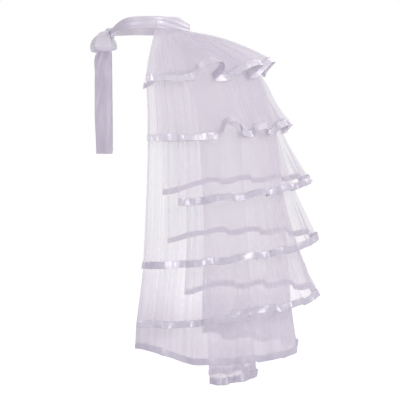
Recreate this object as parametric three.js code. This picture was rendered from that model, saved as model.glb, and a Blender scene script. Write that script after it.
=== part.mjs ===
// A tie-on bustle skirt: six tiers of tulle and an inner train, gathered to a satin sash that is
// knotted in front. It is open in front and stands out behind, in the form that it has when worn.
// Units are millimetres. +Z is up, the wearer faces -Y and the wearer's left side is +X.
// The origin is the centre of the waistband's ring, at half the band's height.

import * as THREE from "three";

// Driving dimensions
const WAIST_HALF_WIDTH = 125;
const WAIST_HALF_DEPTH = 97;
const BAND_HEIGHT = 28;
const BAND_WALL = 2.4;
const TULLE_WALL = 1.1;
const LAYER_PITCH = 2.2; // from one gathered layer to the next one
const SEAM_GAP = 0.4;
const RIBBON_WIDTH = 16;
const RIBBON_WALL = 1.0;
const RIBBON_GAP = 0.8;
const SASH_WIDTH = 42;
const SASH_WALL = 1.5;
const LEFT_TIE_LENGTH = 282; // from the knot to the cut end
const RIGHT_TIE_LENGTH = 276;
const COLUMNS = 60; // across a whole tier, from its left front edge round the back to its right one

// The hollow form under the innermost tier, ring by ring from the band down. half is the half width,
// back and front are the Y of the centre back and of the front edges, side and rear are the heights
// there, and sideLift and rearLift are the angles above level along which layers stack outwards.
const FORM = [
  { half: 115, back: 87, front: 18, side: -14.4, rear: -14.4, sideLift: 0, rearLift: 0 },
  { half: 118, back: 91, front: 16, side: -27, rear: -26, sideLift: 12, rearLift: 42 },
  { half: 140, back: 156, front: 8, side: -70, rear: -52, sideLift: 22, rearLift: 62 },
  { half: 161, back: 222, front: 2, side: -112, rear: -92, sideLift: 22, rearLift: 58 },
  { half: 178, back: 270, front: 1, side: -150, rear: -138, sideLift: 20, rearLift: 50 },
  { half: 194, back: 290, front: 4, side: -212, rear: -202, sideLift: 12, rearLift: 25 },
  { half: 204, back: 309, front: 4, side: -277, rear: -272, sideLift: 8, rearLift: 22 },
  { half: 214, back: 326, front: 0, side: -422, rear: -403, sideLift: 6, rearLift: 12 },
  { half: 218, back: 339, front: -7, side: -560, rear: -545, sideLift: 5, rearLift: 10 },
  { half: 212, back: 349, front: -23, side: -703, rear: -684, sideLift: 5, rearLift: 10 },
  { half: 203, back: 356, front: -28, side: -797, rear: -812, sideLift: 5, rearLift: 8 },
];

// The form under the train, a narrow panel that hangs inside the tiers at the centre back.
const TRAIN_FORM = [
  { half: 54, back: 85, front: 74, side: -14.4, rear: -14.4, sideLift: 0, rearLift: 0 },
  { half: 56, back: 87, front: 76, side: -34, rear: -36, sideLift: 8, rearLift: 20 },
  { half: 60, back: 150, front: 92, side: -110, rear: -96, sideLift: 10, rearLift: 45 },
  { half: 64, back: 204, front: 112, side: -200, rear: -185, sideLift: 10, rearLift: 30 },
  { half: 70, back: 228, front: 126, side: -360, rear: -350, sideLift: 5, rearLift: 8 },
  { half: 74, back: 242, front: 136, side: -600, rear: -600, sideLift: 3, rearLift: 5 },
  { half: 80, back: 254, front: 146, side: -876, rear: -879, sideLift: 3, rearLift: 5 },
];
const RIGHT_DROP = 24; // the wearer's right side hangs this much lower, from a third of the way down
const RIGHT_DROP_HEIGHT = 300;

// The panels, from the outermost in. rings are the rows of the form that the panel's wall passes,
// first and last the columns of its front edges, layer its place in the stack at the band. The flare
// stands the hem off the form over the given length above it, more sharply with a higher power.
// ruffle is the depth of the hem's waves either way, low in front and deep behind the place deepFrom,
// a share of the way round, and rise is how far their crests stand up. A flute flips the hem up by
// flip at the place flipAt. corner lifts the left front corner of the hem, and flap brings the right
// corner forward. rightLift lifts the right side, from the share liftFrom, fully at liftTo.
const PANELS = [
  { name: "tier_1", form: FORM, rings: [0, 1, 2, 3, 4], first: 0, last: 60, layer: 5,
    flareSide: 20, flareBack: 24, length: 122, power: 0.9, ruffleSide: 3, ruffleBack: 20,
    waves: 7.3, phase: -0.13, deepFrom: 0.12, flip: 22, flipAt: 0.141, corner: 0, rise: 6,
    rightLift: 36, liftFrom: 0, liftTo: 0.06, flap: 32 },
  { name: "tier_2", form: FORM, rings: [0, 1, 2, 3, 4, 5, 6], first: 0, last: 60, layer: 4,
    flareSide: 20, flareBack: 27, length: 190, power: 2.2, ruffleSide: 3, ruffleBack: 13,
    waves: 10, phase: 0.1, deepFrom: 0.155, flip: 24, flipAt: 0.186, corner: 0, rise: 9 },
  { name: "tier_3", form: FORM, rings: [0, 1, 2, 4, 5, 6, 7], first: 4, last: 59, layer: 3,
    flareSide: 32, flareBack: 62, length: 240, power: 2, ruffleSide: 5, ruffleBack: 9,
    waves: 11.5, phase: 0.2, deepFrom: 0.1, flip: 0, corner: 0, rise: 4,
    rightLift: 24, liftFrom: 0.03, liftTo: 0.12 },
  { name: "tier_4", form: FORM, rings: [0, 1, 2, 4, 6, 7, 8], first: 0, last: 58, layer: 2,
    flareSide: 40, flareBack: 66, length: 300, power: 1.6, ruffleSide: 7, ruffleBack: 8,
    waves: 11, phase: 0.7, deepFrom: 0.1, flip: 0, corner: 0, rise: 4,
    rightLift: 22, liftFrom: 0.03, liftTo: 0.12 },
  { name: "tier_5", form: FORM, rings: [0, 1, 2, 4, 6, 7, 8, 9], first: 0, last: 55, layer: 1,
    flareSide: 24, flareBack: 64, length: 300, power: 1.6, ruffleSide: 8, ruffleBack: 8,
    waves: 10.5, phase: 0.3, deepFrom: 0.1, flip: 0, corner: 6, rise: 5,
    rightLift: 16, liftFrom: 0.08, liftTo: 0.14 },
  { name: "tier_6", form: FORM, rings: [0, 1, 2, 4, 6, 8, 10], first: 0, last: 52, layer: 0,
    flareSide: 6, flareBack: 8, length: 240, power: 1.6, ruffleSide: 6, ruffleBack: 7,
    waves: 10, phase: 0.6, deepFrom: 0.1, flip: 0, corner: 48, rise: 3,
    rightLift: -14, liftFrom: 0.14, liftTo: 0.21 },
  { name: "train", form: TRAIN_FORM, rings: [0, 1, 2, 3, 4, 5, 6], first: 0, last: 60, step: 2, layer: 0,
    flareSide: 2, flareBack: 4, length: 560, power: 1.6, ruffleSide: 6, ruffleBack: 8,
    waves: 6, phase: 0.5, deepFrom: 0.1, flip: 0, corner: 0, rise: 3 },
];
const DEEPENING = 0.04; // the share of the way round over which the waves deepen
const FLIP_OUT = 0.5; // a flipped flute stands out by this share of its lift
const FLIP_RISE = 0.026; // the share of the way round over which the hem rises to it
const FLIP_FALL = 0.034; // and over which it sinks again
const CORNER_SHARE = 0.14;
const FLAP_SHARE = 0.08;

const tulleMaterial = new THREE.MeshStandardMaterial({ color: 0xe4dfe9, roughness: 0.85 });
const satinMaterial = new THREE.MeshStandardMaterial({ color: 0xf1eef5, roughness: 0.35 });

const { lerp, smoothstep, clamp, degToRad } = THREE.MathUtils;

function vector(x, y, z) {
  return new THREE.Vector3(x, y, z);
}

// Solids

// A closed wall between two grids of points, each a list of columns that run from the top down.
// Seen from outside, the columns follow each other from right to left.
function wallGeometry(outer, inner) {
  const rows = outer[0].length;
  const around = 2 * rows;
  const positions = [];
  outer.forEach((column, c) => {
    for (const p of [...column, ...inner[c].slice().reverse()]) positions.push(p.x, p.y, p.z);
  });
  const indices = [];
  const quad = (a, b, c, d) => indices.push(a, b, c, a, c, d);
  for (let c = 0; c + 1 < outer.length; c++) {
    for (let r = 0; r < around; r++) {
      const next = (r + 1) % around;
      const here = c * around;
      const there = here + around;
      // The inner face is split along the same diagonals as the outer one, so a twisted wall stays whole.
      if (r < rows) quad(here + r, here + next, there + next, there + r);
      else quad(there + r, here + r, here + next, there + next);
    }
  }
  const end = (outer.length - 1) * around;
  for (let r = 0; r + 1 < rows; r++) {
    const back = around - 1 - r;
    quad(r, back, back - 1, r + 1);
    quad(end + r, end + r + 1, end + back - 1, end + back);
  }
  const geometry = new THREE.BufferGeometry();
  geometry.setAttribute("position", new THREE.Float32BufferAttribute(positions, 3));
  geometry.setIndex(indices);
  geometry.computeVertexNormals();
  return geometry;
}

// The outward direction at each point of a grid.
function gridNormals(grid) {
  return grid.map((column, c) =>
    column.map((point, r) => {
      const left = grid[Math.max(c - 1, 0)][r];
      const right = grid[Math.min(c + 1, grid.length - 1)][r];
      const down = column[Math.min(r + 1, column.length - 1)]
        .clone()
        .sub(column[Math.max(r - 1, 0)]);
      return down.cross(right.clone().sub(left)).normalize();
    }),
  );
}

function movedOut(grid, normals, distance) {
  return grid.map((column, c) =>
    column.map((point, r) => point.clone().addScaledVector(normals[c][r], distance)),
  );
}

function meshOf(name, geometry, material) {
  const mesh = new THREE.Mesh(geometry, material);
  mesh.name = name;
  return mesh;
}

// Tulle panels and their hem ribbons

// A point of the form at share u of the way round, and the direction in which layers stack there.
function formPoint(ring, u) {
  const angle = Math.PI * u;
  const behind = Math.sin(angle) ** 2;
  const reach = ring.back - ring.front;
  const rightDrop = u > 0.5 ? RIGHT_DROP * clamp(-ring.side / RIGHT_DROP_HEIGHT, 0, 1) : 0;
  const point = vector(
    ring.half * Math.cos(angle),
    ring.front + reach * Math.sin(angle),
    lerp(ring.side - rightDrop, ring.rear, behind),
  );
  const level = vector(reach * Math.cos(angle), ring.half * Math.sin(angle), 0).normalize();
  const lift = degToRad(lerp(ring.sideLift, ring.rearLift, behind));
  const direction = level.multiplyScalar(Math.cos(lift)).setZ(Math.sin(lift));
  return { point, direction, behind };
}

// How far a panel stands off the form, from 0 where it still lies on it to 1 at its hem.
function flareShare(panel, u, height) {
  const hem = formPoint(panel.form[panel.rings.at(-1)], u).point.z;
  const share = clamp((hem + panel.length - height) / panel.length, 0, 1);
  return share ** panel.power;
}

// A flipped flute rises quickly to its place and sinks slowly behind it.
function flipShare(past) {
  return past < 0 ? smoothstep(past, -FLIP_RISE, 0) : Math.exp(-((past / FLIP_FALL) ** 2));
}

function panelPoint(panel, ringIndex, u) {
  const { point, direction, behind } = formPoint(panel.form[ringIndex], u);
  const share = flareShare(panel, u, point.z);
  const fromEdge = Math.min(u, 1 - u);
  const deep = smoothstep(fromEdge, panel.deepFrom, panel.deepFrom + DEEPENING);
  const ruffle = lerp(panel.ruffleSide, panel.ruffleBack, deep);
  const wave = Math.cos(2 * Math.PI * (panel.waves * u + panel.phase));
  const flare = lerp(panel.flareSide, panel.flareBack, behind);
  const flip = panel.flip === 0 ? 0 : panel.flip * flipShare(fromEdge - panel.flipAt);
  const stack = panel.layer * LAYER_PITCH;
  const corner = panel.corner * (1 - smoothstep(u - panel.first / COLUMNS, 0, CORNER_SHARE));
  const flap = (panel.flap ?? 0) * (1 - smoothstep(1 - u, 0, FLAP_SHARE));
  const onRight = u > 0.5 && panel.rightLift !== undefined;
  const rightLift = onRight
    ? panel.rightLift * (1 - behind) * smoothstep(1 - u, panel.liftFrom, panel.liftTo)
    : 0;
  point.addScaledVector(direction, stack + share * (flare + ruffle * wave + FLIP_OUT * flip));
  point.y -= share * flap;
  point.z += share * (corner + flip + rightLift + (deep * panel.rise * (1 + wave)) / 2);
  return point;
}

// The last two rows are the upper and lower edge of the hem ribbon.
function panelGrid(panel) {
  const grid = [];
  for (let c = panel.first; c <= panel.last; c += panel.step ?? 1) {
    const column = panel.rings.map((ringIndex) => panelPoint(panel, ringIndex, c / COLUMNS));
    const [above, hem] = column.slice(-2);
    const share = RIBBON_WIDTH / above.distanceTo(hem);
    column.splice(-1, 0, hem.clone().lerp(above, share));
    grid.push(column);
  }
  return grid;
}

function panelMesh(panel) {
  const outer = panelGrid(panel);
  const inner = movedOut(outer, gridNormals(outer), -TULLE_WALL);
  return meshOf(panel.name, wallGeometry(outer, inner), tulleMaterial);
}

// The ribbon lies on the panel's last row, with its lower edge at the hem.
function hemRibbonMesh(panel) {
  const grid = panelGrid(panel);
  const strip = grid.map((column) => column.slice(-2));
  const normals = gridNormals(grid).map((column) => column.slice(-2));
  const inner = movedOut(strip, normals, RIBBON_GAP);
  const outer = movedOut(strip, normals, RIBBON_GAP + RIBBON_WALL);
  return meshOf("hem_ribbon_" + panel.name, wallGeometry(outer, inner), satinMaterial);
}

// Waistband

const BAND_COLUMNS = 48;
const KNOT_HALF_WIDTH = 12;
const BAND_DIP = 15; // the band's middle drops this far towards the knot
const DIP_FROM = 125; // from this distance either side of it
const DIP_TO = 45;
const BAND_AT_KNOT = 0.36; // share of its height that the band keeps there
const CREASE_SWAY = 0.5; // the creases deepen and fade by this share
const CREASE_SWAYS = 3; // this many times on the way round
// Creases of the sash across its height: share of the height from the middle, and how proud it is.
const BAND_CREASES = [
  { share: 0.5, proud: 0 },
  { share: 0.3, proud: 1.8 },
  { share: 0.08, proud: 0.3 },
  { share: -0.16, proud: 2.2 },
  { share: -0.34, proud: 0.4 },
  { share: -0.5, proud: 0.6 },
];

function bandMesh() {
  const openAngle = Math.asin((KNOT_HALF_WIDTH + SEAM_GAP) / WAIST_HALF_WIDTH);
  const outer = [];
  const inner = [];
  for (let c = 0; c <= BAND_COLUMNS; c++) {
    const angle = -Math.PI / 2 + openAngle + (c / BAND_COLUMNS) * 2 * (Math.PI - openAngle);
    const round = vector(
      WAIST_HALF_WIDTH * Math.cos(angle),
      WAIST_HALF_DEPTH * Math.sin(angle),
      0,
    );
    const out = vector(
      Math.cos(angle) / WAIST_HALF_WIDTH,
      Math.sin(angle) / WAIST_HALF_DEPTH,
      0,
    ).normalize();
    const inFront = angle < 0 || angle > Math.PI;
    const toKnot = inFront ? 1 - smoothstep(Math.abs(round.x), DIP_TO, DIP_FROM) : 0;
    const height = BAND_HEIGHT * lerp(1, BAND_AT_KNOT, toKnot);
    const sway = 1 + CREASE_SWAY * Math.sin(CREASE_SWAYS * angle);
    const at = ({ share, proud }) =>
      round
        .clone()
        .addScaledVector(out, proud * sway)
        .setZ(share * height - BAND_DIP * toKnot);
    const plain = BAND_CREASES.map(({ share }) => at({ share, proud: 0 }));
    outer.push(BAND_CREASES.map(at));
    inner.push(plain.map((point) => point.addScaledVector(out, -BAND_WALL)));
  }
  return meshOf("waistband", wallGeometry(outer, inner), satinMaterial);
}

// Bow: knot, loops and ties

const KNOT_CENTRE = vector(0, -WAIST_HALF_DEPTH - 2, -18);
const BOW_Y = -WAIST_HALF_DEPTH - 8; // the loops and ties hang in front of the band
// The knot's rings from the top down: height over its centre, and its half sizes there.
const KNOT_RINGS = [
  { up: 13, halfX: 6, halfY: 6 },
  { up: 10, halfX: 10, halfY: 9.5 },
  { up: 4, halfX: 12, halfY: 12 },
  { up: -4, halfX: 12, halfY: 12 },
  { up: -10, halfX: 9.5, halfY: 10.5 },
  { up: -13, halfX: 5.5, halfY: 7 },
];
const KNOT_SIDES = 14;
const KNOT_FOOT = KNOT_CENTRE.z + KNOT_RINGS.at(-1).up;

// A solid through closed rings of points, with a flat face at each end. The rings run from the top down.
function ringSolid(rings) {
  const sides = rings[0].length;
  const positions = rings.flat().flatMap((p) => [p.x, p.y, p.z]);
  const indices = [];
  for (let r = 0; r + 1 < rings.length; r++) {
    for (let s = 0; s < sides; s++) {
      const next = (s + 1) % sides;
      const [a, b] = [r * sides + s, r * sides + next];
      const [c, d] = [a + sides, b + sides];
      indices.push(a, c, d, a, d, b);
    }
  }
  const last = (rings.length - 1) * sides;
  for (let s = 1; s + 1 < sides; s++) {
    indices.push(0, s, s + 1);
    indices.push(last, last + s + 1, last + s);
  }
  const geometry = new THREE.BufferGeometry();
  geometry.setAttribute("position", new THREE.Float32BufferAttribute(positions, 3));
  geometry.setIndex(indices);
  geometry.computeVertexNormals();
  return geometry;
}

function knotMesh() {
  const rings = KNOT_RINGS.map(({ up, halfX, halfY }) =>
    Array.from({ length: KNOT_SIDES }, (_, s) => {
      const angle = (2 * Math.PI * s) / KNOT_SIDES;
      return vector(halfX * Math.cos(angle), halfY * Math.sin(angle), up).add(KNOT_CENTRE);
    }),
  );
  return meshOf("bow_knot", ringSolid(rings), satinMaterial);
}

// A loop's middle line seen from the front: out from the knot, down, round the fold and back.
// across is the ribbon's width there, and shift moves it towards the wearer's back.
const LOOP_ROUTE = [
  { x: 12.3, z: -15, across: 13, shift: -3.4 },
  { x: 22, z: -18, across: 22, shift: -10 },
  { x: 33, z: -28, across: 31, shift: -11 },
  { x: 42, z: -42, across: 39, shift: -10 },
  { x: 45.5, z: -53, across: 43, shift: -9 },
  { x: 41, z: -60, across: 43, shift: -5 },
  { x: 35, z: -57, across: 43, shift: 0 },
  { x: 29, z: -47, across: 38, shift: 2 },
  { x: 20, z: -33, across: 28, shift: 0 },
  { x: 11.8, z: -25, across: 15, shift: -3 },
];
const LOOP_CROWN = 3; // the middle of the ribbon stands this far out
const LOOP_NARROW = 14; // a loop that is pulled forward moves most where it is wide
const LOOP_WIDE = 40;
const RIGHT_LOOP_FORWARD = 22;
const LOOP_SHARES = [-0.5, -0.2, 0.2, 0.5];

// side is 1 for the wearer's left and -1 for the right. forward pulls the loop towards the front.
function loopMesh(name, side, forward) {
  const middle = LOOP_ROUTE.map(({ x, z }) => vector(side * x, 0, z));
  const outwards = middle.map((point, i) => {
    const along = middle[Math.min(i + 1, middle.length - 1)].clone().sub(middle[Math.max(i - 1, 0)]);
    return vector(-side * along.z, 0, side * along.x).normalize();
  });
  const face = (offset) =>
    LOOP_SHARES.map((share) =>
      LOOP_ROUTE.map(({ across, shift }, i) => {
        const crown = LOOP_CROWN * (1 - 4 * share * share);
        const pulled = forward * smoothstep(across, LOOP_NARROW, LOOP_WIDE);
        return middle[i]
          .clone()
          .addScaledVector(outwards[i], offset + crown)
          .setY(BOW_Y + share * across + shift - pulled);
      }),
    );
  const [outer, inner] = [face(SASH_WALL / 2), face(-SASH_WALL / 2)];
  const ordered = side > 0 ? [outer, inner] : [outer.reverse(), inner.reverse()];
  return meshOf(name, wallGeometry(...ordered), satinMaterial);
}

// A tie's rows from the knot down: share of its length, share of the sash's width, how far forward
// its middle hangs and the sideways sway of the cloth.
const TIE_ROWS = [
  { down: 0, wide: 0.36, forward: 2, sway: 0 },
  { down: 0.06, wide: 0.6, forward: 8, sway: 2 },
  { down: 0.14, wide: 0.94, forward: 14, sway: 3 },
  { down: 0.3, wide: 1, forward: 15, sway: 1 },
  { down: 0.48, wide: 1.02, forward: 15.5, sway: -2 },
  { down: 0.66, wide: 1.03, forward: 15.5, sway: 0 },
  { down: 0.84, wide: 0.99, forward: 14.5, sway: 2 },
  { down: 1, wide: 0.95, forward: 14, sway: 1 },
];
// The sash keeps a crease along its length: share of the width, and how far out it stands.
const TIE_FOLDS = [
  { share: -0.5, out: 0 },
  { share: -0.15, out: 1 },
  { share: 0.14, out: 3.5 },
  { share: 0.5, out: 0 },
];
const TIE_FOLD_START = 0.33; // the crease is fully there from this share of the length down

// apart is the distance of the tie's inner face from the wearer's middle.
function tieMesh(name, side, apart, length) {
  const face = (offset) =>
    TIE_FOLDS.map((fold) =>
      TIE_ROWS.map(({ down, wide, forward, sway }) =>
        vector(
          side * (apart + fold.out * Math.min(1, down / TIE_FOLD_START) + offset) + sway,
          BOW_Y - forward + fold.share * wide * SASH_WIDTH,
          KNOT_FOOT - SEAM_GAP - down * length,
        ),
      ),
    );
  const [outer, inner] = [face(SASH_WALL), face(0)];
  const ordered = side > 0 ? [outer, inner] : [outer.reverse(), inner.reverse()];
  return meshOf(name, wallGeometry(...ordered), satinMaterial);
}

const bustleSkirt = new THREE.Group();
bustleSkirt.add(bandMesh(), knotMesh());
bustleSkirt.add(loopMesh("bow_loop_left", 1, 0));
bustleSkirt.add(loopMesh("bow_loop_right", -1, RIGHT_LOOP_FORWARD));
bustleSkirt.add(tieMesh("tie_end_left", 1, 2.5, LEFT_TIE_LENGTH));
bustleSkirt.add(tieMesh("tie_end_right", -1, 4.5, RIGHT_TIE_LENGTH));
for (const panel of PANELS) {
  bustleSkirt.add(panelMesh(panel), hemRibbonMesh(panel));
}

export default bustleSkirt;
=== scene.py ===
# %% [markdown]
# The object is a tie-on bustle skirt for the stage. Six tiers of soft net and a narrow train hang
# inside each other from a satin sash, which is tied in a bow in front. The skirt is open in front
# and stands out behind. Each tier ends in a satin ribbon.
# The CAD model gives the size and the place of every layer. This lesson dresses it: each CAD wall
# is replaced by a thin sheet with finer folds, and each sheet gets a cloth that is built from nodes.

import math

import bpy
import numpy as np
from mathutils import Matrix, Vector


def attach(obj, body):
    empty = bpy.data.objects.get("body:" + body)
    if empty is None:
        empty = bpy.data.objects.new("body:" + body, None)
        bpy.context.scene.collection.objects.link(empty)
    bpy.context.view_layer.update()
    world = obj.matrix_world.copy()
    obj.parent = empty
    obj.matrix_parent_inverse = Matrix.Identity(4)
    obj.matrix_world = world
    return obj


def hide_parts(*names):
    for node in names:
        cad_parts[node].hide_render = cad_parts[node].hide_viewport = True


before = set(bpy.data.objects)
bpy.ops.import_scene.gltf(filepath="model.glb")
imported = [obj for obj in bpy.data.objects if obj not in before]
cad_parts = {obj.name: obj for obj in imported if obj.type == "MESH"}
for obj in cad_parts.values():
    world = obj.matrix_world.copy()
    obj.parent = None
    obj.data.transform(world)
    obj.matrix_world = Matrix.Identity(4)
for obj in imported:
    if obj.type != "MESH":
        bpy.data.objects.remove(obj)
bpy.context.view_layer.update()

# %% [markdown]
# The picture was taken from the wearer's left, at the height of the upper tiers, with a long lens.
# The camera stands there and is tipped down a little, so the whole length fits into a square.

# %% Camera
scene = bpy.context.scene
CAMERA_DISTANCE = 2.3394
CAMERA_BEHIND = 0.12225
CAMERA_HEIGHT = -0.17956
CAMERA_TIP = math.radians(4.884)
LENS_MM = 84.76
SENSOR_MM = 36.0
FRAMING_SHIFT = -0.05

camera_data = bpy.data.cameras.new("side_camera")
camera_data.lens = LENS_MM
camera_data.sensor_width = SENSOR_MM
camera_data.shift_y = FRAMING_SHIFT
camera = bpy.data.objects.new("side_camera", camera_data)
camera.location = (CAMERA_DISTANCE, CAMERA_BEHIND, CAMERA_HEIGHT)
camera.rotation_euler = (math.radians(90) - CAMERA_TIP, 0, math.radians(90))
scene.collection.objects.link(camera)
scene.camera = camera
print("camera at", list(camera.location))

# %% [markdown]
# Net is mostly holes, and what is behind it shines through. So the backdrop has to be clean white
# where the camera sees it, and softer where it lights the cloth. One world does both: the Light Path
# node picks the white for camera rays. The soft part is brighter above and behind the wearer than
# below and in front. White cloth shows its folds only by such a difference. All of it leans a little
# to lavender, which gives the satin its lilac folds.

# %% Backdrop and soft surrounding light
WHITE = (1.0, 1.0, 1.0, 1.0)
SKY_BRIGHT = (0.83, 0.81, 0.85, 1.0)
SKY_LEVEL = (0.70, 0.665, 0.735, 1.0)
SKY_DIM = (0.50, 0.46, 0.545, 1.0)
SKY_STRENGTH = 0.83
BRIGHT_FROM = (0.1, 0.82, 0.56)
DIM_AT, LEVEL_AT, BRIGHT_AT = 0.12, 0.52, 0.92

world = bpy.data.worlds.new("studio")
scene.world = world
world.use_nodes = True
tree = world.node_tree
tree.nodes.clear()
place = tree.nodes.new("ShaderNodeTexCoord")
towards = tree.nodes.new("ShaderNodeVectorMath")
towards.operation = "DOT_PRODUCT"
towards.inputs[1].default_value = BRIGHT_FROM
tree.links.new(place.outputs["Generated"], towards.inputs[0])
height = tree.nodes.new("ShaderNodeMapRange")
height.inputs["From Min"].default_value = -1
height.inputs["From Max"].default_value = 1
tree.links.new(towards.outputs["Value"], height.inputs["Value"])
ramp = tree.nodes.new("ShaderNodeValToRGB")
ramp.color_ramp.elements[0].position = DIM_AT
ramp.color_ramp.elements[0].color = SKY_DIM
ramp.color_ramp.elements[1].position = BRIGHT_AT
ramp.color_ramp.elements[1].color = SKY_BRIGHT
ramp.color_ramp.elements.new(LEVEL_AT).color = SKY_LEVEL
tree.links.new(height.outputs["Result"], ramp.inputs["Fac"])
soft = tree.nodes.new("ShaderNodeBackground")
soft.inputs["Strength"].default_value = SKY_STRENGTH
tree.links.new(ramp.outputs["Color"], soft.inputs["Color"])
plain = tree.nodes.new("ShaderNodeBackground")
plain.inputs["Color"].default_value = WHITE
path = tree.nodes.new("ShaderNodeLightPath")
choose = tree.nodes.new("ShaderNodeMixShader")
tree.links.new(path.outputs["Is Camera Ray"], choose.inputs["Fac"])
tree.links.new(soft.outputs["Background"], choose.inputs[1])
tree.links.new(plain.outputs["Background"], choose.inputs[2])
world_out = tree.nodes.new("ShaderNodeOutputWorld")
tree.links.new(choose.outputs["Shader"], world_out.inputs["Surface"])
scene.view_settings.view_transform = "Standard"
print("studio light ready")

# %% [markdown]
# Satin lives on reflections, so it needs a few large soft lamps to mirror. The key lamp stands high
# behind the wearer's shoulder on the camera's side, a weak one fills the front, and one the far side.

# %% Soft lamps
LAMPS = [
    ("lamp_key", (1.9, 1.9, 0.9), 1.2, 19),
    ("lamp_front", (1.6, -1.8, 0.6), 1.4, 7),
    ("lamp_far_side", (-1.8, 1.2, 1.0), 1.4, 12),
]
LAMP_TARGET = Vector((0, 0.12, -0.35))

for name, where, size, power in LAMPS:
    lamp = bpy.data.lights.new(name, "AREA")
    lamp.shape = "DISK"
    lamp.size = size
    lamp.energy = power
    lamp_object = bpy.data.objects.new(name, lamp)
    lamp_object.location = where
    lamp_object.rotation_mode = "QUATERNION"
    lamp_object.rotation_quaternion = (LAMP_TARGET - Vector(where)).to_track_quat("-Z", "Y")
    scene.collection.objects.link(lamp_object)
print(len(LAMPS), "lamps")

# %% [markdown]
# A ray that goes through the whole skirt crosses fourteen sheets of net and often more, because the
# folds lie over each other. Cycles stops after eight by default and would show black there.

# %% Let rays through every layer
LAYERS_SEEN_THROUGH = 64
scene.cycles.transparent_max_bounces = LAYERS_SEEN_THROUGH
print("rays pass", LAYERS_SEEN_THROUGH, "sheets")

# %% [markdown]
# Every surface here is a grid of points: rows from the top down and columns round the wearer. One
# helper turns such a grid into an open sheet, and one wraps two grids into a thin closed shell.
# Sizes are written in millimetres, as a pattern cutter has them, and scaled on the way into Blender.

# %% Grids to meshes
MM = 0.001


def mesh_from(name, points, quads, corner_uv, material):
    mesh = bpy.data.meshes.new(name)
    mesh.vertices.add(len(points))
    mesh.vertices.foreach_set("co", (points * MM).astype(np.float32).ravel())
    mesh.loops.add(quads.size)
    mesh.loops.foreach_set("vertex_index", quads.astype(np.int32).ravel())
    mesh.polygons.add(len(quads))
    mesh.polygons.foreach_set("loop_start", np.arange(0, quads.size, 4, dtype=np.int32))
    mesh.update(calc_edges=True)
    mesh.polygons.foreach_set("use_smooth", np.ones(len(quads), bool))
    layer = mesh.uv_layers.new(name="cloth")
    layer.data.foreach_set("uv", (corner_uv * MM).astype(np.float32).ravel())
    mesh.validate()
    mesh.materials.append(material)
    piece = bpy.data.objects.new(name, mesh)
    scene.collection.objects.link(piece)
    return piece


def grid_quads(rows, columns, first=0):
    index = first + np.arange(rows * columns).reshape(rows, columns)
    corners = [index[:-1, :-1], index[1:, :-1], index[1:, 1:], index[:-1, 1:]]
    return np.stack(corners, axis=-1).reshape(-1, 4)


def open_sheet(name, grid, uv, material):
    rows, columns = grid.shape[:2]
    quads = grid_quads(rows, columns)
    flat_uv = uv.reshape(-1, 2)
    return mesh_from(name, grid.reshape(-1, 3), quads, flat_uv[quads], material)


def thin_shell(name, outer, inner, uv, material, inner_material):
    """A closed skin round two grids of the same size, with its edges closed by narrow strips. Its faces
    point out, and the faces of the inner grid get a material of their own."""
    rows, columns = outer.shape[:2]
    count = rows * columns
    points = np.concatenate([outer.reshape(-1, 3), inner.reshape(-1, 3)])
    index = np.arange(count).reshape(rows, columns)
    front = grid_quads(rows, columns)
    back = grid_quads(rows, columns, count)[:, ::-1]
    rim = np.concatenate([index[:, 0], index[-1, 1:], index[-2::-1, -1], index[0, -2:0:-1]])
    next_rim = np.roll(rim, -1)
    strips = np.stack([rim, rim + count, next_rim + count, next_rim], axis=-1)
    quads = np.concatenate([front, back, strips])
    down, right = outer[1:, :-1] - outer[:-1, :-1], outer[:-1, 1:] - outer[:-1, :-1]
    if (np.cross(down, right) * (outer - inner)[:-1, :-1]).sum() < 0:
        quads = quads[:, ::-1]
    flat_uv = np.concatenate([uv.reshape(-1, 2), uv.reshape(-1, 2)])
    shell = mesh_from(name, points, quads, flat_uv[quads], material)
    shell.data.materials.append(inner_material)
    inside = np.zeros(len(quads), np.int32)
    inside[len(front):len(front) + len(back)] = 1
    shell.data.polygons.foreach_set("material_index", inside)
    return shell


print("mesh helpers ready")

# %% [markdown]
# Cloth is never even, but the script has to give the same skirt each time. So all unevenness comes
# from seeded lines of random heights, drawn smoothly from one to the next. Shapes that are given by a
# few numbers are drawn as smooth lines too, which pass through each knot with the slope it has there.

# %% Seeded unevenness and smooth lines
HEIGHTS = 2048


def wander(x, seed):
    """A smooth line from -1 to 1 through random heights, one for each whole number."""
    heights = np.random.default_rng(seed).uniform(-1, 1, HEIGHTS)
    whole = np.floor(x).astype(int)
    part = x - whole
    part = part * part * (3 - 2 * part)
    return heights[whole % HEIGHTS] * (1 - part) + heights[(whole + 1) % HEIGHTS] * part


def smoothstep(x, low, high):
    t = np.clip((x - low) / (high - low), 0, 1)
    return t * t * (3 - 2 * t)


def mixed(a, b, share):
    return a * (1 - share) + b * share


def smooth_line(places, knots, at):
    """Values at some places of a smooth line through knots, which lie at places of their own."""
    slopes = np.gradient(knots, places, axis=0)
    i = np.clip(np.searchsorted(places, at, side="right") - 1, 0, len(places) - 2)
    length = (places[i + 1] - places[i])[..., None]
    t = (at - places[i])[..., None] / length
    return (
        (2 * t**3 - 3 * t**2 + 1) * knots[i]
        + (t**3 - 2 * t**2 + t) * (slopes[i] * length)
        + (3 * t**2 - 2 * t**3) * knots[i + 1]
        + (t**3 - t**2) * (slopes[i + 1] * length)
    )


print("a wandering line:", wander(np.arange(0, 3, 0.5), 1).round(2))

# %% [markdown]
# The materials are built from nodes. Three helpers keep that short: one starts a group with named
# inputs and outputs, one adds a node with its settings and links, and one adds a step of arithmetic.

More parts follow.
